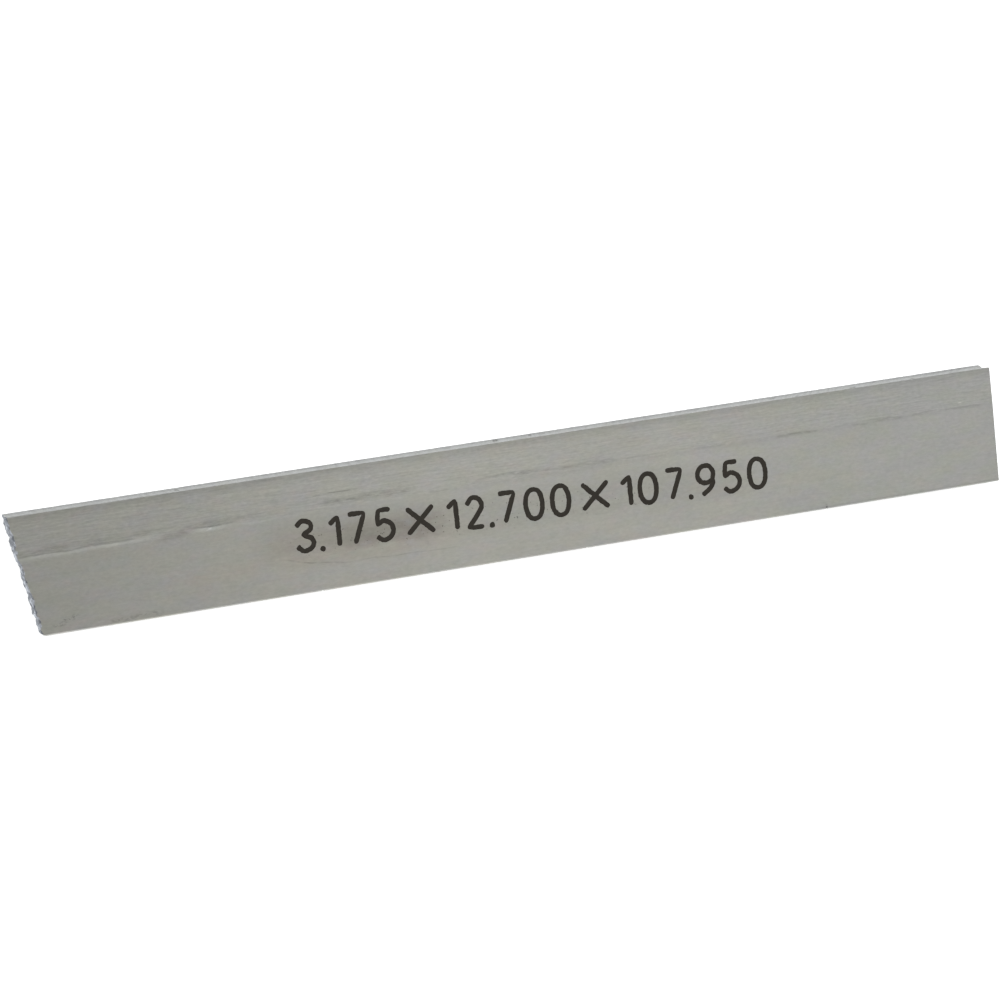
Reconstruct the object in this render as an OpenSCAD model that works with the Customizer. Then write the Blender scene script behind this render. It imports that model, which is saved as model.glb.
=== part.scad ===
// Parting blade for a lathe cut-off holder, one piece of ground high-speed steel.
// A parallel land lies below the cutting edge, both flanks are relieved under it, the front end is
// cropped at the clearance angle and left rough, and the heel is square, with one edge chipped.
// X runs from the cropped end to the heel, +Y points at the cutting edge and +Z is up.
// The blade lies on one relieved flank, with the origin below its middle.

/* [Blade] */
// Overall length along the cutting edge, from the tip to the heel
blade_length = 107.95; // [60:0.05:160]
// Height of the blade, from the seat edge to the cutting edge
blade_height = 12.7; // [9:0.05:20]
// Thickness across the land, which is the width of cut
cut_width = 3.175; // [1.6:0.025:5]

/* [Ground flanks] */
// Depth of the parallel land below the cutting edge
land_depth = 4.2; // [2:0.1:7]
// Relief of each flank below the land, in degrees
side_relief = 1.5; // [0.5:0.1:3]
// Bevel along both long edges of the seat
seat_bevel = 0.15; // [0.05:0.01:0.4]

/* [Cropped end] */
// Front clearance of the cropped end, in degrees
front_clearance = 9; // [3:0.5:15]
// Skew of the cropped end across the thickness, in degrees, with the resting side leading
crop_skew = 4; // [0:0.5:8]
// Radius at the toe, where the cropped end meets the seat
toe_radius = 0.5; // [0.2:0.05:1.2]
// Distance from the tip to the first hollow, along the cropped end
first_hollow = 2.6; // [1.5:0.1:4]
// Spacing of the hollows that the cropping left
hollow_pitch = 2.9; // [2.2:0.1:4]
// Width of each hollow
hollow_width = 1.5; // [0.8:0.1:2]
// Depth of each hollow
hollow_depth = 0.12; // [0.05:0.01:0.2]

/* [Chipped heel] */
// Width of the chip along the heel's edge at the cutting side
chip_width = 2.7; // [1.6:0.05:3]
// Reach of the chip from the heel along the cutting edge
chip_length = 0.85; // [0.3:0.05:1.2]
// Reach of the chip down the heel
chip_down = 0.35; // [0.15:0.05:0.7]
// Distance of the chip's middle from the upper flank
chip_set = 1.25; // [0.6:0.05:1.6]

/* [Hidden] */
$fn = 64;

// Flanks: what the relief takes off each side, and the seat that is left
flank_height = blade_height - land_depth;
flank_drop = flank_height * tan(side_relief);
seat_width = cut_width - 2 * flank_drop;

// Cropped end: its length, its foot at the seat and the angle of the toe
end_length = blade_height / cos(front_clearance);
end_set_back = blade_height * tan(front_clearance);
toe_angle = 90 + front_clearance;
toe_tangent = toe_radius / tan(toe_angle / 2);

// Hollows: those that end before the toe, and the radius of their arc
hollow_room = end_length - toe_tangent - hollow_width / 2 - first_hollow;
hollow_count = 1 + floor(hollow_room / hollow_pitch);
hollow_radius = (pow(hollow_width / 2, 2) + pow(hollow_depth, 2)) / (2 * hollow_depth);

// Stock left in front of the tip for the crop to take off
crop_stock = 2;

// Chip: a ball through its ends, with its centre past the heel and above the cutting edge
chip_half = chip_width / 2;
chip_past = (pow(chip_half, 2) - pow(chip_length, 2)) / (2 * chip_length);
chip_above = (pow(chip_half, 2) - pow(chip_down, 2)) / (2 * chip_down);
chip_radius = norm([chip_past, chip_above, chip_half]);

// Height of the blade's middle when it lies on a relieved flank
lying_height = cut_width / 2 * cos(side_relief) - (blade_height / 2 - land_depth) * sin(side_relief);

// Ground section, with the height along x and the thickness along y
module section() {
    cutting_edge = blade_height / 2;
    land_foot = cutting_edge - land_depth;
    seat = -blade_height / 2;
    bevel_inset = seat_bevel * tan(side_relief);
    half_flank = seat_width / 2 + bevel_inset;
    half_seat = seat_width / 2 - seat_bevel;
    polygon([
        [cutting_edge, cut_width / 2],
        [land_foot, cut_width / 2],
        [seat + seat_bevel, half_flank],
        [seat, half_seat],
        [seat, -half_seat],
        [seat + seat_bevel, -half_flank],
        [land_foot, -cut_width / 2],
        [cutting_edge, -cut_width / 2]
    ]);
}

// Places its children along the cropped end: x points down the end from the tip, y out of the steel
module along_cropped_end() {
    translate([0, blade_height / 2])
        rotate(-90 + front_clearance)
            mirror([0, 1])
                children();
}

// What the rounded toe takes off the corner between the cropped end and the seat
module toe_waste() {
    corner = [end_set_back, -blade_height / 2];
    centre = corner + [toe_tangent, toe_radius];
    difference() {
        polygon([
            corner,
            corner + [toe_tangent, 0],
            centre,
            corner + toe_tangent * [-sin(front_clearance), cos(front_clearance)]
        ]);
        translate(centre)
            circle(r = toe_radius);
    }
}

// What the crop takes off the front, seen from the side with the tip at x = 0
module crop_waste() {
    spare = 2 * crop_stock;
    polygon([
        [-spare, blade_height / 2 + spare],
        [-spare * tan(front_clearance), blade_height / 2 + spare],
        [end_set_back + spare * tan(front_clearance), -blade_height / 2 - spare],
        [-spare, -blade_height / 2 - spare]
    ]);
    toe_waste();
    along_cropped_end()
        for (i = [0 : hollow_count - 1])
            translate([first_hollow + i * hollow_pitch, hollow_radius - hollow_depth])
                circle(r = hollow_radius);
}

// Bar of the ground section with a square heel and stock in front of the tip
module ground_bar() {
    translate([-blade_length / 2 - crop_stock, 0, 0])
        rotate([90, 0, 90])
            linear_extrude(blade_length + crop_stock)
                section();
}

// Ball that fits the chip in the heel's edge
module heel_chip() {
    translate([blade_length / 2 + chip_past, blade_height / 2 + chip_above, cut_width / 2 - chip_set])
        sphere(r = chip_radius);
}

module blade() {
    color([0.62, 0.62, 0.60])
        translate([0, 0, lying_height])
            rotate([side_relief, 0, 0])
                difference() {
                    ground_bar();
                    translate([-blade_length / 2, 0, -cut_width / 2])
                        rotate([0, crop_skew, 0])
                            linear_extrude(3 * cut_width, center = true)
                                crop_waste();
                    heel_chip();
                }
}

blade();
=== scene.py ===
import math

import bpy
from mathutils import Matrix, Quaternion, Vector, noise


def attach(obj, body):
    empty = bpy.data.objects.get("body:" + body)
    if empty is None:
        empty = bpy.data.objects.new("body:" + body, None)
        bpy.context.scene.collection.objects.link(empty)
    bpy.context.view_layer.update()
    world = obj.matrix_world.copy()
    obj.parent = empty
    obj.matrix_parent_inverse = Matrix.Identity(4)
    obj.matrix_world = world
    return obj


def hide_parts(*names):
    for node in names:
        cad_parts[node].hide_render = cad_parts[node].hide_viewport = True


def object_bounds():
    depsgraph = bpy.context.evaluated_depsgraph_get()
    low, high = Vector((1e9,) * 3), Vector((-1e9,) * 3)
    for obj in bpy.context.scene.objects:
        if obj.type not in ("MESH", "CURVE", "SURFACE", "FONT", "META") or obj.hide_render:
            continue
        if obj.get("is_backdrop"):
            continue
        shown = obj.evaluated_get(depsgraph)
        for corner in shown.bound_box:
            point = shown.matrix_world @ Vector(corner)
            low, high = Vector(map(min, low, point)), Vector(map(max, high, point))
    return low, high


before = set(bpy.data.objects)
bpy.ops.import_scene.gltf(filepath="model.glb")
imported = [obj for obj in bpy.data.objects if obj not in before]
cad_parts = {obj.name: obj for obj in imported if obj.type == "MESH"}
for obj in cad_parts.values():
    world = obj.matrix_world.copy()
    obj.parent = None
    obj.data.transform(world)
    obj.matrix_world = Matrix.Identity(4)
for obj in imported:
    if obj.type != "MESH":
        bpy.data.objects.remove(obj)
cadLow, cadHigh = (corner.copy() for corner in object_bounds())
mm = 0.001
print("frame loaded, blade", [round(side / mm, 2) for side in cadHigh - cadLow], "mm")


# hand tools
def selectOnly(*pieces):
    bpy.ops.object.select_all(action="DESELECT")
    for piece in pieces:
        piece.select_set(True)
    bpy.context.view_layer.objects.active = pieces[0]


def pick(piece, kind, test):  # leaves the piece in edit mode with only the tested parts selected
    bpy.ops.object.mode_set(mode="EDIT")
    bpy.ops.mesh.select_mode(type=kind)
    bpy.ops.mesh.select_all(action="DESELECT")
    bpy.ops.object.mode_set(mode="OBJECT")
    mesh = piece.data
    if kind == "VERT":
        for vert in mesh.vertices:
            vert.select = test(vert.co)
    elif kind == "EDGE":
        for edge in mesh.edges:
            start, end = (mesh.vertices[index].co for index in edge.vertices)
            edge.select = test(start, end)
    else:
        for face in mesh.polygons:
            face.select = test(face.center, face.normal)
    bpy.ops.object.mode_set(mode="EDIT")


def slicePicked(point, normal, **cut):
    bpy.ops.mesh.bisect(plane_co=point, plane_no=normal, **cut)


def sliceAll(point, normal, **cut):  # what is hidden stays whole
    bpy.ops.mesh.select_all(action="SELECT")
    slicePicked(point, normal, **cut)


def cutAway(point, normal):  # takes off what lies behind the plane and closes the cut
    sliceAll(point, normal, clear_inner=True)
    bpy.ops.mesh.select_all(action="SELECT")
    bpy.ops.mesh.fill_holes(sides=0)


def applyModifier(piece, kind, **settings):
    modifier = piece.modifiers.new(kind.lower(), kind)
    for name, value in settings.items():
        setattr(modifier, name, value)
    bpy.context.view_layer.objects.active = piece
    bpy.ops.object.modifier_apply(modifier=modifier.name)


def cloudTexture(name, size, depth, contrast=1.0):
    texture = bpy.data.textures.new(name, "CLOUDS")
    texture.noise_scale = size
    texture.noise_depth = depth
    texture.contrast = contrast
    return texture


def weightGroup(piece, name, weigh):  # vertex group with a weight for each place
    group = piece.vertex_groups.new(name=name)
    for vert in piece.data.vertices:
        weight = weigh(vert.co)
        if weight > 0:
            group.add([vert.index], min(weight, 1), "REPLACE")
    return name


def clamp(value):
    return max(0.0, min(1.0, value))


def smooth(value, low, high):  # 0 at low, 1 at high, as the shader's ramp
    share = clamp((value - low) / (high - low))
    return share * share * (3 - 2 * share)


# shader expressions
class Sock:
    def __init__(self, tree, socket):
        self.tree = tree
        self.socket = socket

    def node(self, kind, settings, inputs, output=0):
        made = self.tree.nodes.new(kind)
        for name, value in settings.items():
            setattr(made, name, value)
        for name, value in inputs.items():
            if isinstance(value, Sock):
                self.tree.links.new(value.socket, made.inputs[name])
            else:
                made.inputs[name].default_value = value
        return Sock(self.tree, made.outputs[output])

    def math(self, operation, *values):
        return self.node("ShaderNodeMath", {"operation": operation}, dict(enumerate(values)))

    def __add__(self, other):
        return self.math("ADD", self, other)

    __radd__ = __add__

    def __sub__(self, other):
        return self.math("SUBTRACT", self, other)

    def __rsub__(self, other):
        return self.math("SUBTRACT", other, self)

    def __mul__(self, other):
        return self.math("MULTIPLY", self, other)

    __rmul__ = __mul__

    def __abs__(self):
        return self.math("ABSOLUTE", self)

    def ramp(self, low, high):  # 0 at low, 1 at high, smooth between, also where low is above high
        return self.node("ShaderNodeMapRange", {"interpolation_type": "SMOOTHSTEP"}, {
            "Value": self, "From Min": min(low, high), "From Max": max(low, high),
            "To Min": float(low > high), "To Max": float(low < high)})

    def band(self, low, high, soft):
        return self.ramp(low - soft, low + soft) * self.ramp(high + soft, high - soft)

    def axes(self):
        split = self.node("ShaderNodeSeparateXYZ", {}, {0: self})
        return [Sock(self.tree, end) for end in split.socket.node.outputs]

    def seenFrom(self, place, turn=(0, 0, 0), size=1.0):  # the same point in another frame
        return self.node("ShaderNodeMapping", {"vector_type": "TEXTURE"}, {
            "Vector": self, "Location": place, "Rotation": turn, "Scale": (size, size, size)})

    def moved(self, along, up):  # the same point, moved by values
        step = self.node("ShaderNodeCombineXYZ", {}, {"X": along, "Y": up})
        return self.node("ShaderNodeVectorMath", {"operation": "ADD"}, {0: self, 1: step})

    def noise(self, stretch, detail, rough=0.5):
        drawn = self.node("ShaderNodeVectorMath", {"operation": "MULTIPLY"}, {0: self, 1: stretch})
        return self.node("ShaderNodeTexNoise", {}, {
            "Vector": drawn, "Scale": 1.0, "Detail": detail, "Roughness": rough})

    def colour(self, shade):  # a shade, brighter or darker by this value
        return self.node("ShaderNodeVectorMath", {"operation": "SCALE"}, {0: shade, "Scale": self})

    def tinted(self, shade, amount):
        return self.node("ShaderNodeMix", {"data_type": "RGBA"}, {0: amount, 6: self, 7: shade}, 2)

    def bumped(self, depth):
        return self.node("ShaderNodeBump", {}, {"Height": self, "Strength": 1.0, "Distance": depth})


def newMaterial(name, **fixed):  # a material, its shader and its Object coordinates
    made = bpy.data.materials.new(name)
    made.use_nodes = True
    shader = made.node_tree.nodes["Principled BSDF"]
    for socket, value in fixed.items():
        shader.inputs[socket.replace("_", " ")].default_value = value
    place = made.node_tree.nodes.new("ShaderNodeTexCoord")
    return made, shader, Sock(made.node_tree, place.outputs["Object"])


def feed(shader, **sockets):
    for name, value in sockets.items():
        value.tree.links.new(value.socket, shader.inputs[name.replace("_", " ")])


# the ground blade, drawn on its middle plane and then laid on its flank
blade = {
    "length": cadHigh.x - cadLow.x,
    "height": 12.7 * mm,
    "cutWidth": 3.175 * mm,
    "landDepth": 4.2 * mm,
    "relief": math.radians(1.5),
    "clearance": math.radians(9),
    "cropSkew": math.radians(4),
    "toeRadius": 0.5 * mm,
    "toeSteps": 6,
    "seatBevel": 0.15 * mm,
    "edgeWear": 0.025 * mm,
    "endZone": 1.1 * mm,  # how far the rough end reaches into the faces
    "endFacing": 0.3,  # how much a face of the end has to look outwards
    "endMesh": 0.13 * mm,  # mesh size on the rough end
    "zoneSteps": (0.12 * mm, 0.3 * mm, 0.6 * mm),  # slices behind the end
    "columns": 360,  # slices along the length
    "ridgeRows": (0.5 * mm, 0.24 * mm, 0.1 * mm, -0.07 * mm, -0.16 * mm, -0.4 * mm),  # beside the ridge
    "hollows": (2.6 * mm, 5.5 * mm, 8.4 * mm, 11.3 * mm),  # down the cropped end, from the tip
    "hollowWidth": 1.5 * mm,
    "hollowDepth": 0.12 * mm,
    "smoothAngle": math.radians(20),
}
halfLength, halfHeight, halfWidth = blade["length"] / 2, blade["height"] / 2, blade["cutWidth"] / 2
landFoot = halfHeight - blade["landDepth"]
flankDrop = (blade["height"] - blade["landDepth"]) * math.tan(blade["relief"])  # off each side at the seat
lift = halfWidth * math.cos(blade["relief"]) - landFoot * math.sin(blade["relief"])
near = 0.001 * mm

# the cropped end leans back by its clearance and is skewed about the tip on the resting side
tip = Vector((-halfLength, halfHeight, -halfWidth))
skewTurn = Matrix.Rotation(blade["cropSkew"], 3, "Y")
endIn = skewTurn @ Vector((math.cos(blade["clearance"]), math.sin(blade["clearance"]), 0))
endDown = skewTurn @ Vector((math.sin(blade["clearance"]), -math.cos(blade["clearance"]), 0))


def behindEnd(at):  # how deep a point lies behind the cropped end
    return (at - tip).dot(endIn)


def layDown(piece):
    selectOnly(piece)
    piece.rotation_euler.x = blade["relief"]
    piece.location.z = lift
    bpy.ops.object.transform_apply(location=True, rotation=True, scale=True)


def grindSection():
    seatWidth = blade["cutWidth"] - 2 * flankDrop
    bpy.ops.object.select_all(action="DESELECT")
    bpy.ops.mesh.primitive_cube_add(size=1, location=(0, 0, 0))
    piece = bpy.context.object
    piece.name = "ground_blade"
    piece.scale = (blade["length"], blade["height"], blade["cutWidth"])
    bpy.ops.object.transform_apply(location=True, rotation=True, scale=True)
    lengthwise = lambda a, b: abs(a.x - b.x) > halfLength

    bpy.ops.object.mode_set(mode="EDIT")
    sliceAll((0, landFoot, 0), (0, 1, 0))
    pick(piece, "VERT", lambda at: at.y < -halfHeight + near)
    bpy.ops.transform.resize(
        value=(1, 1, seatWidth / blade["cutWidth"]), center_override=(0, -halfHeight, 0))
    pick(piece, "EDGE", lambda a, b: max(a.y, b.y) < -halfHeight + near and lengthwise(a, b))
    bpy.ops.mesh.bevel(offset=blade["seatBevel"], segments=1, affect="EDGES")
    pick(piece, "EDGE", lambda a, b: min(a.y, b.y) > halfHeight - near and lengthwise(a, b))
    bpy.ops.mesh.bevel(offset=blade["edgeWear"], segments=2, affect="EDGES")
    pick(piece, "EDGE", lambda a, b: min(a.x, b.x) > halfLength - near)
    bpy.ops.mesh.bevel(offset=blade["edgeWear"], segments=2, affect="EDGES")
    print("blade: section ground")
    return piece


def cropEnd(piece):
    cutAway(tip, endIn)
    toeAngle = math.pi / 2 + blade["clearance"]
    tangent = blade["toeRadius"] / math.tan(toeAngle / 2)
    toeFoot = Vector((blade["height"] * math.tan(blade["clearance"]), -blade["height"], 0))
    middle = tip + skewTurn @ (toeFoot + Vector((tangent, blade["toeRadius"], 0)))
    for step in range(1, blade["toeSteps"]):
        turn = math.pi / 2 - step / blade["toeSteps"] * (math.pi / 2 - blade["clearance"])
        away = skewTurn @ Vector((math.cos(turn), math.sin(turn), 0))
        cutAway(middle - away * blade["toeRadius"], away)

    # mesh for the rough end, then for the ridge and the long edges
    sliceAll(tip + endIn * blade["endZone"], endIn)
    inZone = lambda at, normal: behindEnd(at) < blade["endZone"] - near
    onEnd = lambda at, normal: normal.dot(endIn) < -blade["endFacing"] and inZone(at, normal)
    for step in blade["zoneSteps"]:
        pick(piece, "FACE", lambda at, normal: inZone(at, normal) and not onEnd(at, normal))
        slicePicked(tip + endIn * step, endIn)
    for row in range(1, int(blade["height"] / blade["endMesh"])):
        pick(piece, "FACE", inZone)
        slicePicked((0, halfHeight - row * blade["endMesh"], 0), (0, 1, 0))
    for line in range(1, int(blade["cutWidth"] / blade["endMesh"])):
        pick(piece, "FACE", onEnd)
        slicePicked((0, 0, line * blade["endMesh"] - halfWidth), (0, 0, 1))
    pick(piece, "FACE", inZone)
    bpy.ops.mesh.hide()
    for row in blade["ridgeRows"]:
        sliceAll((0, landFoot + row, 0), (0, 1, 0))
    for column in range(1, blade["columns"]):
        sliceAll((blade["length"] * column / blade["columns"] - halfLength, 0, 0), (1, 0, 0))
    bpy.ops.mesh.reveal()

    for along in blade["hollows"]:
        centre = tip + endDown * along
        pick(piece, "VERT", lambda at: abs((at - centre).dot(endDown)) < 0.6 * blade["endMesh"]
             and behindEnd(at) < near)
        bpy.ops.transform.translate(
            value=(blade["hollowDepth"] / endIn.x, 0, 0), use_proportional_edit=True,
            proportional_edit_falloff="SMOOTH", proportional_size=blade["hollowWidth"] / 2)
    bpy.ops.object.mode_set(mode="OBJECT")
    print("blade: end cropped,", len(piece.data.polygons), "faces")


# what use and the crop left on it; places are mm from the tip and mm below the cutting edge
wear = {
    "breakDepth": 0.13 * mm,
    "breakReach": 0.6 * blade["endZone"],  # how far the lumps fade out behind the end
    "breakSizes": ((1.1 * mm, 1.0), (0.4 * mm, 0.9)),  # size of the lumps and their share of the depth
    "breakContrast": 2.2,
    "breakLevel": 0.43,  # of the texture that stays in place
    "chipDepth": 0.18 * mm,
    "chipSize": 0.45 * mm,
    "chipReach": 0.5 * mm,  # from the flanks into the end
    "chipContrast": 2.5,
    "chipLevel": 0.35,
    "endForward": (0.1 * mm, 4.0 * mm, 6.5 * mm),  # of the upper end, fading between the two depths
    "ridgeDepth": 0.08 * mm,
    "ridge": [  # from, to, share of the depth, reach above and reach below the foot of the land
        (0.4, 9.5, 0.22, 0.5, 0.1),
        (9.0, 14.5, 0.5, 0.5, 0.1),
        (15.0, 18.6, 0.3, 0.3, 0.4),
        (18.4, 22.8, 0.8, 0.4, 0.1),
        (22.5, 28.0, 0.3, 0.5, 0.2),
        (30.0, 69.0, 0.04, 0.5, 0.4),
        (73.0, 77.0, 0.08, 0.1, 0.4),
        (82.5, 88.0, 0.06, 0.1, 0.4),
        (91.0, 99.5, 0.06, 0.24, 0.4),
        (100.5, 106.0, 0.04, 0.1, 0.4),
    ],
    "ridgeBow": [(20.0, 0.0, 0.22), (40.0, 85.0, -0.22)],  # from, to, drop in mm; up at the heel
    "ridgeWave": (1.3, 0.035),  # turn for each mm along, and height
    "ridgeReach": 0.45 * mm,  # how far the bow carries the faces beside the ridge with it
    "edgeWander": 0.03 * mm,
    "wanderSize": 1.6 * mm,
    "heelChip": (0.85, 0.35, 2.7, 1.25),  # reach along and down, width, middle from the near flank
    "chipFine": 6,  # subdivisions of its ball
    "topNicks": [  # along, back from the near flank, length, depth
        (17.84, 1.2, 0.30, 0.07),
        (46.8, 1.5, 0.50, 0.03),
        (52.12, 1.75, 0.36, 0.12),
        (55.95, 1.8, 0.26, 0.05),
        (57.5, 1.9, 0.24, 0.04),
        (83.1, 1.4, 0.50, 0.03),
        (85.6, 0.3, 0.26, 0.05),
        (92.0, 0.25, 0.50, 0.09),
        (95.5, 2.6, 0.30, 0.05),
        (98.85, 0.05, 0.30, 0.08),
        (103.5, 0.1, 0.50, 0.03),
    ],
    "topSpread": 1.2,  # reach of a nick to each side across the edge, for each mm of its length
    "seatNicks": [(87.7, 0.16, 0.12), (31.5, 0.3, 0.05), (60.4, 0.25, 0.04)],  # along, length, depth
    "seatSpread": 0.5,
}


def ridgeDip(at):  # share of the ridge's depth at a place, with its own waves
    along = (at.x + halfLength) / mm
    off = (at.y - landFoot) / mm
    deepest = 0.0
    for start, end, share, above, below in wear["ridge"]:
        fade = clamp(along - start) * clamp(end - along)
        slope = clamp(1 - (off / above if off > 0 else -off / below))
        deepest = max(deepest, share * fade * slope)
    return deepest * clamp(0.75 + 0.6 * noise.noise(Vector((0.9 * along, 3.1, 0))))


def ridgeDrop(at):  # how far the ridge runs below a straight line, in mm
    along = (at.x + halfLength) / mm
    turn, height = wear["ridgeWave"]
    bow = sum(drop * smooth(along, start, end) for start, end, drop in wear["ridgeBow"])
    return bow + height * math.sin(turn * along)


def roughenEnd(piece):
    endWeight = lambda at: clamp(1 - behindEnd(at) / wear["breakReach"])
    forward, fullDepth, noneDepth = wear["endForward"]
    fromTip = lambda at: clamp((at.x + halfLength) / (3 * forward))
    highShare = lambda at: 1 - smooth(halfHeight - at.y, fullDepth, noneDepth)
    group = weightGroup(piece, "upperEnd", lambda at: endWeight(at) * fromTip(at) * highShare(at))
    applyModifier(piece, "DISPLACE", direction="X", vertex_group=group, mid_level=0.0, strength=-forward)
    group = weightGroup(piece, "croppedEnd", endWeight)
    for size, share in wear["breakSizes"]:
        lumps = cloudTexture("lumps", size, 2, wear["breakContrast"])
        applyModifier(
            piece, "DISPLACE", texture=lumps, texture_coords="LOCAL", direction="X",
            vertex_group=group, mid_level=wear["breakLevel"], strength=wear["breakDepth"] * share)

    toFlank = lambda at: min(abs(at.z - halfWidth), abs(at.z + halfWidth))
    chipWeight = lambda at: endWeight(at) * clamp(1 - toFlank(at) / wear["chipReach"])
    group = weightGroup(piece, "chippedEdges", chipWeight)
    chips = cloudTexture("chips", wear["chipSize"], 1, wear["chipContrast"])
    applyModifier(
        piece, "DISPLACE", texture=chips, texture_coords="LOCAL", direction="X",
        vertex_group=group, mid_level=wear["chipLevel"], strength=wear["chipDepth"])
    print("blade: end broken")


def wearEdges(piece):
    for name, side in (("ridgeNear", 1), ("ridgeFar", -1)):
        sideDip = lambda at: ridgeDip(at) if at.z * side > halfWidth / 2 else 0.0
        group = weightGroup(piece, name, sideDip)
        applyModifier(
            piece, "DISPLACE", direction="Z", vertex_group=group, mid_level=0.0,
            strength=-side * wear["ridgeDepth"])
    offRidge = lambda at: clamp(1 - abs(at.y - landFoot) / wear["ridgeReach"])
    for name, side in (("ridgeDown", 1), ("ridgeUp", -1)):
        sideDrop = lambda at: side * ridgeDrop(at) * offRidge(at) if at.z > 0 else 0.0
        group = weightGroup(piece, name, sideDrop)
        applyModifier(
            piece, "DISPLACE", direction="Y", vertex_group=group, mid_level=0.0, strength=-side * mm)
    for name, side in (("cuttingEdge", 1), ("seatEdge", -1)):
        onEdge = lambda at: float(at.y * side > halfHeight - blade["edgeWear"] / 2)
        nearFlank = lambda at: onEdge(at) * clamp(2 * abs(at.z) / halfWidth - 1)
        group = weightGroup(piece, name, nearFlank)
        wander = cloudTexture("wander", wear["wanderSize"], 2)
        applyModifier(
            piece, "DISPLACE", texture=wander, texture_coords="LOCAL", direction="Y",
            vertex_group=group, mid_level=0.0, strength=-side * wear["edgeWander"])
    print("blade: ridge and edges worn")


def chipBall():  # middle and radius of the ball that fits the chip in the heel's edge
    along, down, width, middle = (size * mm for size in wear["heelChip"])
    past = (width ** 2 / 4 - along ** 2) / (2 * along)
    above = (width ** 2 / 4 - down ** 2) / (2 * down)
    radius = Vector((past, above, width / 2)).length
    return Vector((halfLength + past, halfHeight + above, halfWidth - middle)), radius


def nickEdges(piece):
    cutters = []

    def dent(place, size, fine=2):
        bpy.ops.mesh.primitive_ico_sphere_add(subdivisions=fine, radius=1, location=place)
        made = bpy.context.object
        made.scale = size
        cutters.append(made)

    bpy.ops.object.select_all(action="DESELECT")
    for along, back, length, depth in wear["topNicks"]:
        size = Vector((length / 2, 2 * depth, wear["topSpread"] * length)) * mm
        dent((along * mm - halfLength, halfHeight + size.y - depth * mm, halfWidth - back * mm), size)
    for along, length, depth in wear["seatNicks"]:
        size = Vector((length / 2, 2 * depth, wear["seatSpread"])) * mm
        dent((along * mm - halfLength, -halfHeight - size.y + 2 * depth * mm, halfWidth - flankDrop), size)
    middle, radius = chipBall()
    dent(middle, Vector.Fill(3, radius), wear["chipFine"])
    selectOnly(*cutters)
    bpy.ops.object.transform_apply(location=True, rotation=True, scale=True)
    bpy.ops.object.join()
    cutter = bpy.context.object
    selectOnly(piece)
    applyModifier(piece, "BOOLEAN", operation="DIFFERENCE", solver="EXACT", object=cutter)
    bpy.data.objects.remove(cutter)
    print("blade: edges nicked,", len(piece.data.polygons), "faces")


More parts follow.
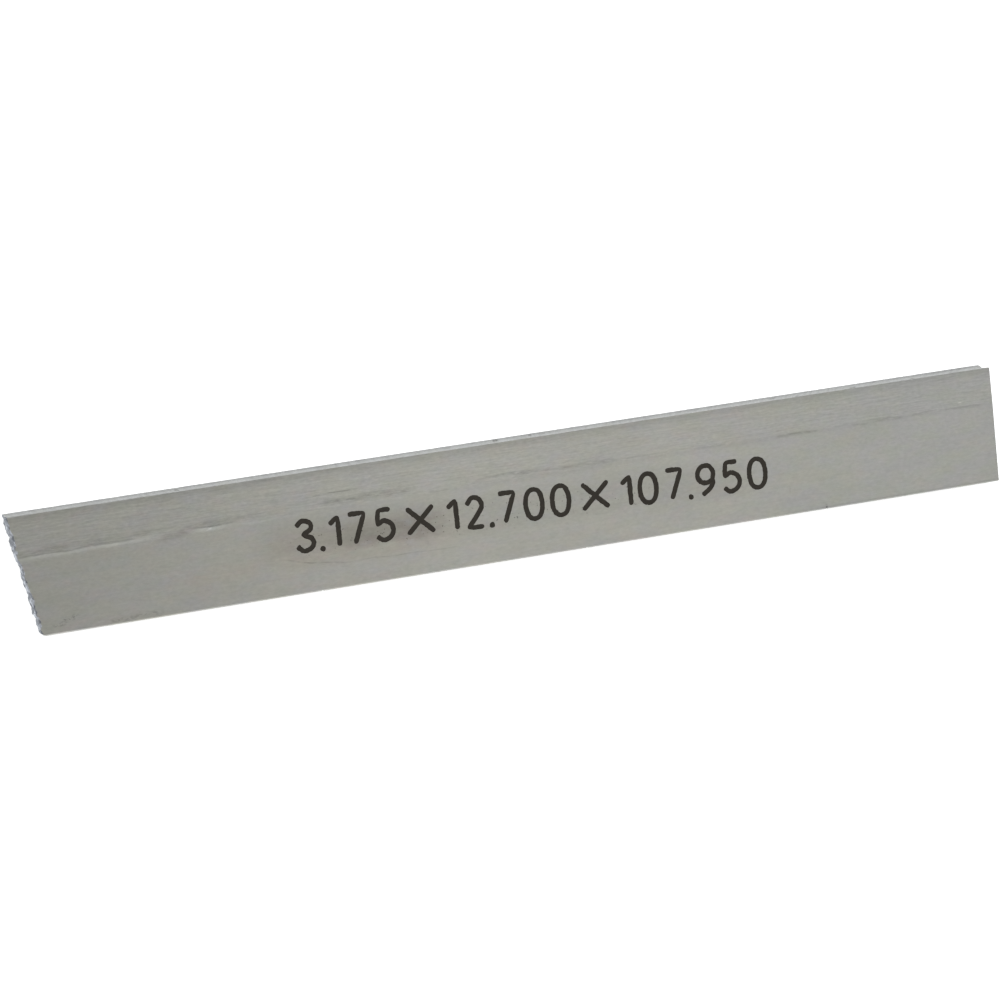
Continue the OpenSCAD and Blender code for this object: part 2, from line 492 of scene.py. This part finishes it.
# ground steel; the tone is a factor on the shade
groundSteel = {
    "shade": (0.425, 0.424, 0.403),
    "stainShade": (0.405, 0.376, 0.342),
    "smudgeShade": (0.362, 0.34, 0.312),
    "blushShade": (0.44, 0.4, 0.36),
    "warmShade": (0.43, 0.43, 0.372),
    "coolShade": (0.415, 0.412, 0.43),
    "pinkShade": (0.45, 0.42, 0.40),
    "greenShade": (0.40, 0.42, 0.385),
    # painted reflection: the cutting edge gets a darker, bluer shade than the face to set how bright and
    # cool its mirrored floor and light look
    "edgeReflectionShade": (0.336, 0.341, 0.343),
    "grazingShade": (0.58, 0.58, 0.572, 1),  # of what it mirrors at a glancing angle
    "roughness": 0.34,
    "grindDepth": 0.003 * mm,
    "noises": {  # spots for each mm along, up and out, then detail and roughness
        "fineLines": ((0.28, 5.5, 2.0), 4, 0.65),
        "longLines": ((0.07, 1.8, 1.0), 3, 0.6),
        "dashes": ((1.5, 6.0, 3.0), 3, 0.6),
        "mottle": ((1.8, 3.0, 3.0), 2),
        "grain": ((3.0, 8.0, 3.0), 2),
        "patches": ((0.12, 0.3, 0.3), 2),
        "waves": ((0.5, 0.2, 0.2), 2),
        "breaks": ((0.9, 5.0, 1.0), 3, 0.6),
        "dots": ((3.0, 4.5, 2.0), 2, 0.6),
        "smears": ((0.7, 1.4, 1.0), 3, 0.6),
        "edgeMarks": ((1.6, 0.3, 0.12), 3, 0.6),
        "bloom": ((0.25, 0.5, 0.3), 3),
        "pits": ((3.6, 3.6, 3.6), 1),
        "pinkOrGreen": ((0.4, 0.7, 0.7), 3, 0.6),
        "warmOrCool": ((0.25, 0.5, 0.5), 3, 0.6),
    },
    "markSlant": (0.0068, 0.15),  # of the marks across the edge: growth for each mm along, less this
    "scratchesAndRidgeShading": [  # from, to, width, how much darker, as places on the near face; the wide streaks along the ridge are painted shade, so is the one in the seat nick, and those with a negative share are painted highlights
        ((28.2, 8.95), (31.0, 9.6), 0.10, 0.28),
        ((30.7, 9.55), (34.2, 10.05), 0.10, 0.28),
        ((33.8, 10.0), (46.0, 10.3), 0.09, 0.16),
        ((31.8, 2.65), (36.3, 2.5), 0.10, 0.35),
        ((46.3, 3.1), (49.7, 3.15), 0.10, 0.12),
        ((83.72, 9.8), (83.62, 10.7), 0.08, 0.13),
        ((87.69, 12.4), (87.69, 12.8), 0.20, 0.60),
        ((0.6, 3.7), (5.6, 3.65), 0.45, 0.19),
        ((4.6, 3.75), (9.5, 3.7), 0.40, 0.08),
        ((8.0, 3.75), (15.5, 3.6), 0.50, 0.09),
        ((18.5, 3.7), (26.0, 3.6), 0.45, 0.14),
        ((15.5, 4.5), (18.4, 4.25), 0.5, 0.14),
        ((24.0, 4.35), (33.0, 4.3), 0.22, -0.07),
        ((32.5, 3.45), (42.0, 3.5), 0.55, 0.24),
        ((36.5, 4.2), (43.0, 4.15), 0.25, -0.06),
        ((43.8, 4.05), (46.2, 4.1), 0.16, 0.12),
        ((49.5, 3.55), (55.0, 3.5), 0.30, 0.20),
        ((53.5, 3.68), (57.5, 3.7), 0.28, 0.18),
        ((58.0, 3.78), (64.5, 3.8), 0.32, 0.20),
        ((65.5, 3.95), (69.0, 4.0), 0.20, 0.10),
        ((73.5, 4.1), (76.2, 4.12), 0.16, 0.16),
        ((83.0, 4.15), (87.4, 4.2), 0.28, 0.24),
        ((91.5, 4.2), (93.2, 4.25), 0.2, 0.16),
        ((94.0, 4.05), (97.2, 4.2), 0.36, 0.18),
        ((98.3, 4.1), (101.3, 4.12), 0.26, 0.16),
        ((102.8, 4.1), (106.4, 4.15), 0.3, 0.16),
        ((103.9, 3.6), (104.3, 3.6), 0.10, -0.35),
    ],
    "shadeAboveLitLine": [  # from, to, width, how much darker; painted shade close above the lit line of the ridge
        ((0.6, 4.04), (13.0, 4.06), 0.18, 0.24),
        ((18.4, 4.04), (23.5, 4.06), 0.18, 0.20),
    ],
    "smudges": [  # from, to, width, strength
        ((15.3, 4.6), (18.6, 4.25), 0.7, 0.8),
        ((26.5, 7.6), (30.5, 7.4), 1.6, 0.35),
        ((34.5, 7.6), (45.0, 7.7), 2.4, 1.2),
        ((38.2, 8.3), (44.2, 8.2), 0.8, 0.5),
    ],
    "blushes": [  # from, to, width, strength
        ((17.5, 9.2), (25.0, 9.1), 1.5, 0.7),
        ((25.0, 7.2), (29.5, 7.4), 2.0, 0.3),
        ((27.0, 9.1), (42.0, 9.0), 1.1, 0.5),
        ((44.0, 8.8), (52.0, 8.6), 1.3, 0.3),
        ((74.0, 8.7), (79.0, 8.9), 1.1, 0.3),
        ((82.0, 8.0), (85.0, 10.0), 1.3, 0.25),
    ],
    "hazes": [  # from, to, upper and lower border, how much darker; round the numbers
        (27.0, 45.0, 4.7, 8.3, 0.10),
        (34.0, 43.5, 6.1, 8.2, 0.13),
        (45.0, 80.0, 5.0, 8.8, 0.075),
    ],
    "hazeFall": (30.0, 0.019),  # from here, for each mm along, as the numbers run
    "scuffs": [  # from, to, width, how much darker; dotted
        ((4.2, 11.2), (6.0, 10.9), 0.45, 0.30),
        ((3.2, 11.7), (4.6, 11.5), 0.35, 0.26),
        ((9.0, 12.1), (14.5, 12.1), 0.35, 0.22),
    ],
}


def bladePlace(place):  # mm along from the tip, up from the cutting edge and out from the near face
    corner = Vector((-halfLength, halfHeight, halfWidth))
    corner = Matrix.Rotation(blade["relief"], 3, "X") @ corner + Vector((0, 0, lift))
    return place.seenFrom(corner, (blade["relief"], 0, 0), mm)


def lineMask(place, start, end, width):
    run, fall = end[0] - start[0], start[1] - end[1]
    reach, turn = math.hypot(run, fall), math.atan2(fall, run)
    along, across = place.seenFrom((start[0], -start[1], 0), (0, 0, turn)).axes()[:2]
    softEnds = min(0.3 * reach, 0.8)
    return along.band(0, reach, softEnds) * abs(across).ramp(width, 0)


def makeGroundSteel():
    made, shader, scenePlace = newMaterial(
        "ground_steel", Metallic=1.0, Specular_Tint=groundSteel["grazingShade"])
    place = bladePlace(scenePlace)
    noises = groundSteel["noises"]
    along, up, out = place.axes()
    below = 0 - up
    nearFace = out.ramp(-1.9, -1.5)  # the side that is seen
    onTop = up.ramp(-0.03, -0.01)  # the cutting edge
    waveTurn, waveHeight = wear["ridgeWave"]
    bow = sum(along.ramp(start, end) * drop for start, end, drop in wear["ridgeBow"])
    drop = bow + along.math("SINE", along * waveTurn) * waveHeight
    straight = place.moved(0.0, drop)  # where the ridge runs straight
    fromRidge = below - drop - blade["landDepth"] / mm
    land = fromRidge.ramp(0.1, -0.1)
    foot = fromRidge.band(-0.2, 0.3, 0.2)

    # grinding lines, longer and plainer on the land
    fineLines = place.noise(*noises["fineLines"])
    longLines = place.noise(*noises["longLines"])
    dashes = place.noise(*noises["dashes"])
    mottle = place.noise(*noises["mottle"])
    grain = place.noise(*noises["grain"])
    tone = 1 + (fineLines - 0.5) * (0.12 + 0.4 * land) + (longLines - 0.5) * 0.08 + (grain - 0.5) * 0.16
    tone = tone + (dashes - 0.5) * (0.12 + 0.2 * land) + (mottle - 0.5) * 0.2

    # large patches, the middle a little darker and the heel a little brighter
    patches = place.noise(*noises["patches"])
    darkerMiddle = along.band(52, 92, 12) * 0.045 - along.ramp(94, 104) * 0.03
    tone = tone * (0.96 + 0.08 * patches) * (1 - darkerMiddle * (1 - onTop))

    # darker under the cutting edge, most at the cropped end, and a painted shade line along the seat at
    # the heel, where the flank turns into the seat bevel
    rim = below.ramp(1.2, 0.0) * (1 - onTop)
    tone = tone * (1 - rim * (0.07 + 0.12 * along.ramp(90, 0)))
    # painted shade: a thin dark line just above the seat bevel near the heel
    seatShadeLine = below.band(12.35, 12.6, 0.08) * along.ramp(80, 90) * nearFace
    tone = tone * (1 - 0.1 * seatShadeLine)

    # scratches, and painted shade in streaks along the ridge and close above its lit line, with painted
    # highlights where the share is negative; broken and a little wavy
    wavy = straight.moved(0.0, (place.noise(*noises["waves"]) - 0.5) * 0.2)
    masks = lambda name: sum(lineMask(wavy, start, end, width) * share
                             for start, end, width, share in groundSteel[name])
    broken = place.noise(*noises["breaks"]).ramp(0.32, 0.58)
    dotted = place.noise(*noises["dots"]).ramp(0.5, 0.62)
    patchy = place.noise(*noises["smears"]).ramp(0.25, 0.55)
    tone = tone * (1 - (masks("scratchesAndRidgeShading") * broken + masks("shadeAboveLitLine") * patchy) * nearFace)
    tone = tone * (1 - masks("scuffs") * dotted * nearFace)

    # short marks across the cutting edge, more and more aslant towards the heel, and darker along its near
    # rim towards the tip; painted shade makes it darkest in the nicks and darker at its back towards the
    # heel, and painted reflection makes it lighter towards the near flank
    slantGrowth, slantLess = groundSteel["markSlant"]
    slant = (along * slantGrowth - slantLess) * out
    slanted = along + slant
    edgeMarks = place.moved(slant, 0.0).noise(*noises["edgeMarks"]).ramp(0.42, 0.7) * 0.27
    edgeMarks = edgeMarks + out.ramp(-0.8, 0) * along.ramp(45, 0) * 0.4
    edgeMarks = edgeMarks + out.ramp(-0.8, -2.2) * along.ramp(90, 104) * 0.15
    for at, back, length, depth in wear["topNicks"]:
        tilt = (at * slantGrowth - slantLess) * back
        nick = abs(slanted + tilt - at).ramp(length, 0.3 * length) * abs(out + back).ramp(1.0, 0.3)
        edgeMarks = edgeMarks + nick * (10 * depth)
    # painted reflection and shade on the cutting edge: lighter towards the near flank, darker at the back
    # and in the nicks
    tone = tone * (1 + onTop * (0.36 * out.ramp(-2.4, -0.9) - edgeMarks))

    # haze, brown bloom and pits round the numbers
    hazeStart, hazeFall = groundSteel["hazeFall"]
    fallen = below - (along - hazeStart) * hazeFall
    haze = sum(along.band(start, end, 4.0) * fallen.band(upper, lower, 0.9) * share
               for start, end, upper, lower, share in groundSteel["hazes"])
    tone = tone * (1 - haze * nearFace)
    bloom = along.band(26, 46, 4) * below.band(5.9, 9.9, 0.9)
    bloom = bloom * (0.45 + 0.55 * place.noise(*noises["bloom"]).ramp(0.35, 0.6))
    pitZone = along.band(30, 68, 4) * below.band(6.2, 9.0, 0.7)
    pits = place.noise(*noises["pits"]).ramp(0.7, 0.76) * pitZone
    tone = tone * (1 - 0.55 * pits * nearFace)

    # shades: the stains, then patches of pink and green, warm and cool, then the cutting edge, painted
    # darker and bluer than the face as a painted reflection of the floor and cool light it mirrors
    toned = lambda name: tone.colour(groundSteel[name])
    shade = toned("shade")
    shade = shade.tinted(toned("stainShade"), bloom * nearFace * 0.95)
    shade = shade.tinted(toned("smudgeShade"), masks("smudges") * (0.4 + 0.6 * patchy) * nearFace)
    shade = shade.tinted(toned("blushShade"), masks("blushes") * patchy * nearFace)
    pinkOrGreen = place.noise(*noises["pinkOrGreen"]) - along.ramp(78, 88) * 0.1
    shade = shade.tinted(toned("pinkShade"), pinkOrGreen.ramp(0.5, 0.7) * 0.6)
    shade = shade.tinted(toned("greenShade"), pinkOrGreen.ramp(0.5, 0.3) * 0.6)
    warmOrCool = place.noise(*noises["warmOrCool"]) + along.ramp(84, 66) * 0.07 + below.ramp(4, 6) * 0.03
    warmOrCool = warmOrCool - along.ramp(86, 98) * 0.07 - 0.02
    shade = shade.tinted(toned("warmShade"), warmOrCool.ramp(0.5, 0.65) * 0.45)
    shade = shade.tinted(toned("coolShade"), warmOrCool.ramp(0.5, 0.35) * 0.45)
    shade = shade.tinted(toned("edgeReflectionShade"), onTop)

    lines = fineLines * 0.7 + grain * 0.3
    roughness = groundSteel["roughness"] + (fineLines - 0.5) * 0.12 + rim * 0.04
    roughness = roughness + foot * (0.03 + 0.11 * along.ramp(34, 26))
    feed(shader, Base_Color=shade, Normal=lines.bumped(groundSteel["grindDepth"]), Roughness=roughness)
    return made


# the broken face that the crop left
brokenSteel = {
    # partly painted light: the bluish tint of this shade stands for the cool light the broken face mirrors
    "shade": (0.36, 0.374, 0.398),
    "grazingShade": (0.7, 0.72, 0.76, 1),
    "roughness": 0.42,
    "grainDepth": 0.05 * mm,
    "lumps": ((1.2, 1.5, 0.8), 3, 0.6),
    "crystals": ((5.0, 5.0, 2.5), 3, 0.6),
    "chips": ((1.0, 1.8, 0.7), 2),
    "facing": 0.4,  # how much a broken face has to look outwards
    "depth": 0.5 * blade["endZone"],
}


def makeBrokenSteel():
    made, shader, scenePlace = newMaterial(
        "broken_steel", Metallic=1.0, Specular_Tint=brokenSteel["grazingShade"])
    place = bladePlace(scenePlace)
    out = place.axes()[2]
    lumps = place.noise(*brokenSteel["lumps"])
    crystals = place.noise(*brokenSteel["crystals"])
    middle = out.band(-2.5, -1.3, 0.4)
    rim = out.ramp(-1.5, -0.6)
    chips = place.noise(*brokenSteel["chips"]).ramp(0.46, 0.56)
    # painted highlight: brighter through the middle of the end; painted shade: darker patches along the
    # near rim where it is chipped
    tone = (0.7 + 0.4 * lumps.ramp(0.35, 0.65)) * (0.8 + 0.4 * crystals.ramp(0.3, 0.7))
    tone = tone * (0.9 + 0.5 * middle * lumps.ramp(0.42, 0.58)) * (1 - 0.6 * rim * chips)
    feed(shader, Base_Color=tone.colour(brokenSteel["shade"]),
         Normal=(crystals * 0.6 + lumps * 0.4).bumped(brokenSteel["grainDepth"]),
         Roughness=brokenSteel["roughness"] + (crystals - 0.5) * 0.3)
    return made


def onBreak(at, normal):
    return normal.dot(endIn) < -brokenSteel["facing"] and behindEnd(at) < brokenSteel["depth"]


groundBlade = grindSection()
cropEnd(groundBlade)
roughenEnd(groundBlade)
wearEdges(groundBlade)
nickEdges(groundBlade)
groundBlade.data.materials.append(makeGroundSteel())
groundBlade.data.materials.append(makeBrokenSteel())
pick(groundBlade, "FACE", onBreak)
groundBlade.active_material_index = 1
bpy.ops.object.material_slot_assign()
bpy.ops.object.mode_set(mode="OBJECT")
layDown(groundBlade)
bpy.ops.object.shade_smooth_by_angle(angle=blade["smoothAngle"])
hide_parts("blade")
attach(groundBlade, "root")
print("blade: finished")

# etched size, plain numbers in millimetres; strokes are drawn one unit high
sizeNumbers = {
    "text": "3.175 x 12.700 x 107.950",
    "height": 3.2 * mm,  # of the strokes' middle lines
    "start": (29.35 * mm, 8.2 * mm),  # foot of the line: along from the tip, below the cutting edge
    "fall": math.radians(1.08),
    "reach": 51.7 * mm,
    "space": 0.12,
    "stroke": 0.092,
    "pointStroke": 0.115,
    "proud": 0.015 * mm,
    "bentSteps": 2,  # points for each piece of a stroke
    "softSteps": 5,
    "weld": 0.01,
    "rounding": 2,
    "ragged": 0.1 * mm,
    "raggedSize": 0.22 * mm,
    "shade": (0.023, 0.019, 0.0138),
    "roughness": 0.42,
    "spots": ((2.5, 2.5, 2.5), 3, 0.6),
    "digits": {  # width, then strokes: loops and soft lines are curves, bent lines have corners
        "0": (0.58, [("loop", (0.29, 1), (0.58, 0.5), (0.29, 0), (0, 0.5))]),
        "1": (0.30, [("bent", (0, 0.74), (0.3, 1), (0.3, 0))]),
        "2": (0.58, [("soft", (0.02, 0.76), (0.28, 1), (0.54, 0.74), (0.38, 0.42), (0.03, 0)),
                     ("bent", (0.03, 0), (0.58, 0))]),
        "3": (0.58, [("soft", (0.02, 0.83), (0.28, 1), (0.52, 0.77), (0.22, 0.545)),
                     ("soft", (0.22, 0.545), (0.57, 0.28), (0.28, 0), (0, 0.18))]),
        "5": (0.58, [("bent", (0.52, 1), (0.1, 1), (0.04, 0.52)),
                     ("soft", (0.04, 0.52), (0.3, 0.64), (0.57, 0.32), (0.27, 0), (0, 0.15))]),
        "7": (0.58, [("bent", (0, 1), (0.56, 1), (0.18, 0))]),
        "9": (0.58, [("loop", (0.29, 1), (0.57, 0.69), (0.29, 0.4), (0.01, 0.69)),
                     ("soft", (0.57, 0.69), (0.5, 0.3), (0.14, 0))]),
        ".": (-0.14, [("bent", (-0.18, 0), (0.04, 0))]),
        "x": (0.92, [("bent", (0, 0.05), (0.92, 0.95)), ("bent", (0, 0.95), (0.92, 0.05))]),
    },
}


def drawStroke(kind, points):  # a line of points that a skin can follow
    bpy.ops.object.select_all(action="DESELECT")
    bpy.ops.curve.primitive_bezier_curve_add(location=(0, 0, 0))
    stroke = bpy.context.object
    stroke.data.dimensions = "2D"
    line = stroke.data.splines[0]
    line.resolution_u = sizeNumbers["bentSteps" if kind == "bent" else "softSteps"]
    line.bezier_points.add(len(points) - 2)
    line.use_cyclic_u = kind == "loop"
    for knot, (x, y) in zip(line.bezier_points, points):
        knot.co = (x, y, 0)
        knot.handle_left_type = "VECTOR" if kind == "bent" else "AUTO"
        knot.handle_right_type = knot.handle_left_type
    bpy.ops.object.convert(target="MESH")
    return bpy.context.object


def skinStrokes(strokes, radius):
    selectOnly(*strokes)
    bpy.ops.object.join()
    glyph = bpy.context.object
    bpy.ops.object.mode_set(mode="EDIT")
    bpy.ops.mesh.select_all(action="SELECT")
    bpy.ops.mesh.remove_doubles(threshold=sizeNumbers["weld"])
    bpy.ops.object.mode_set(mode="OBJECT")
    bpy.ops.object.modifier_add(type="SKIN")
    for corner in glyph.data.skin_vertices[0].data:
        corner.radius = (radius, radius)
    bpy.ops.object.modifier_add(type="SUBSURF")
    glyph.modifiers["Subdivision"].levels = sizeNumbers["rounding"]
    glyph.modifiers["Subdivision"].render_levels = sizeNumbers["rounding"]
    bpy.ops.object.convert(target="MESH")
    return bpy.context.object


def drawGlyph(char, shift):
    strokes = []
    for kind, *points in sizeNumbers["digits"][char][1]:
        strokes.append(drawStroke(kind, [(x + shift, y) for x, y in points]))
    radius = sizeNumbers["pointStroke" if char == "." else "stroke"]
    if char != "x":
        return skinStrokes(strokes, radius)
    # crossing strokes are skinned apart and fused
    glyph, other = (skinStrokes([stroke], radius) for stroke in strokes)
    selectOnly(glyph)
    applyModifier(glyph, "BOOLEAN", operation="UNION", solver="EXACT", object=other)
    bpy.data.objects.remove(other)
    return glyph


def makeSizeNumbers():
    text, digits = sizeNumbers["text"], sizeNumbers["digits"]
    glyphs = [char for char in text if char != " "]
    drawn = sum(digits[char][0] for char in glyphs)
    spaces = sizeNumbers["space"] * text.count(" ")
    gap = (sizeNumbers["reach"] / sizeNumbers["height"] - drawn - spaces) / (len(glyphs) - 1)
    shift = 0.0
    made = []
    for char in text:
        if char == " ":
            shift += sizeNumbers["space"]
        else:
            made.append(drawGlyph(char, shift))
            shift += digits[char][0] + gap
    selectOnly(*made)
    bpy.ops.object.join()
    piece = bpy.context.object
    piece.name = "size_numbers"

    # scaled and flattened, its edges left ragged, then set on the relieved flank
    height, flat = sizeNumbers["height"], sizeNumbers["proud"] / sizeNumbers["stroke"]
    piece.scale = (height, height, flat)
    piece.rotation_euler.z = -sizeNumbers["fall"]
    bpy.ops.object.transform_apply(location=True, rotation=True, scale=True)
    for axis in "XY":
        ragged = cloudTexture("ragged" + axis, sizeNumbers["raggedSize"], 1)
        applyModifier(
            piece, "DISPLACE", texture=ragged, texture_coords="LOCAL", direction=axis,
            mid_level=0.5, strength=sizeNumbers["ragged"])
    along, below = sizeNumbers["start"]
    piece.location = (along - halfLength, halfHeight - below,
                      halfWidth - (below - blade["landDepth"]) * math.tan(blade["relief"]))
    piece.rotation_euler = (blade["relief"], 0, 0)
    bpy.ops.object.transform_apply(location=True, rotation=True, scale=True)
    layDown(piece)
    bpy.ops.object.shade_smooth()

    ink, shader, place = newMaterial("etched_black", Specular_IOR_Level=0.25)
    spots = bladePlace(place).noise(*sizeNumbers["spots"])
    feed(shader, Base_Color=(0.55 + 0.9 * spots).colour(sizeNumbers["shade"]),
         Roughness=sizeNumbers["roughness"] + 0.2 * spots)
    piece.data.materials.clear()
    piece.data.materials.append(ink)
    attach(piece, "root")
    print("size numbers etched,", len(piece.data.polygons), "faces")


makeSizeNumbers()

# floor, light and camera
studio = {
    "floorSize": 4.0,
    "floorDrop": 0.02 * mm,
    "floorShade": (0.9, 0.9, 0.9, 1),
    "floorRoughness": 0.7,
    "floorGlow": 0.62,  # a lit table
    "roomShade": (1, 1, 0.985, 1),
    "roomLight": 0.42,
    "softboxes": [  # where it stands, its size, its brightness and its colour
        ((0.0, 0.55, 0.6), 0.7, 3.6, (0.95, 0.98, 1.0)),
        ((-0.4, -0.75, 0.55), 0.7, 1.6, (1.0, 1.0, 1.0)),
        ((0.207, -0.14, 0.62), 0.26, 0.82, (1.0, 0.985, 0.95)),
    ],
}


def makeStudio():
    bpy.ops.object.select_all(action="DESELECT")
    bpy.ops.mesh.primitive_plane_add(size=studio["floorSize"], location=(0, 0, -studio["floorDrop"]))
    floor = bpy.context.object
    floor.name = "floor"
    paleFloor = newMaterial(
        "pale_floor", Base_Color=studio["floorShade"], Roughness=studio["floorRoughness"],
        Emission_Color=studio["floorShade"], Emission_Strength=studio["floorGlow"])[0]
    floor.data.materials.append(paleFloor)
    floor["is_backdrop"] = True
    world = bpy.data.worlds.new("studio")
    bpy.context.scene.world = world
    world.use_nodes = True
    room = world.node_tree.nodes["Background"]
    room.inputs["Color"].default_value = studio["roomShade"]
    room.inputs["Strength"].default_value = studio["roomLight"]
    for place, size, bright, tint in studio["softboxes"]:
        bpy.ops.object.light_add(type="AREA", location=place)
        lamp = bpy.context.object
        lamp.data.size = size
        lamp.data.energy = bright * math.pi * size * size
        lamp.data.color = tint
        lamp.rotation_euler = (-Vector(place)).to_track_quat("-Z", "Y").to_euler()
    bpy.context.scene.view_settings.view_transform = "Standard"
    print("studio ready")


camera = {
    "lens": 111.71,
    "sensor": 36,
    "clipStart": 0.01,
    "aim": (-2.13 * mm, 0.016 * mm, 1.531 * mm),
    "distance": 328.3 * mm,
    "azimuth": math.radians(-118.09),
    "elevation": math.radians(74.28),
    "roll": math.radians(110.03),
}


def makeCamera():
    turn, rise = camera["azimuth"], camera["elevation"]
    back = Vector((math.sin(turn) * math.cos(rise), -math.cos(turn) * math.cos(rise), math.sin(rise)))
    bpy.ops.object.camera_add(location=Vector(camera["aim"]) + back * camera["distance"])
    made = bpy.context.object
    made.rotation_mode = "QUATERNION"
    made.rotation_quaternion = (-back).to_track_quat("-Z", "Y") @ Quaternion((0, 0, 1), camera["roll"])
    made.data.lens = camera["lens"]
    made.data.sensor_width = camera["sensor"]
    made.data.clip_start = camera["clipStart"]
    bpy.context.scene.camera = made
    print("camera set")


makeStudio()
makeCamera()
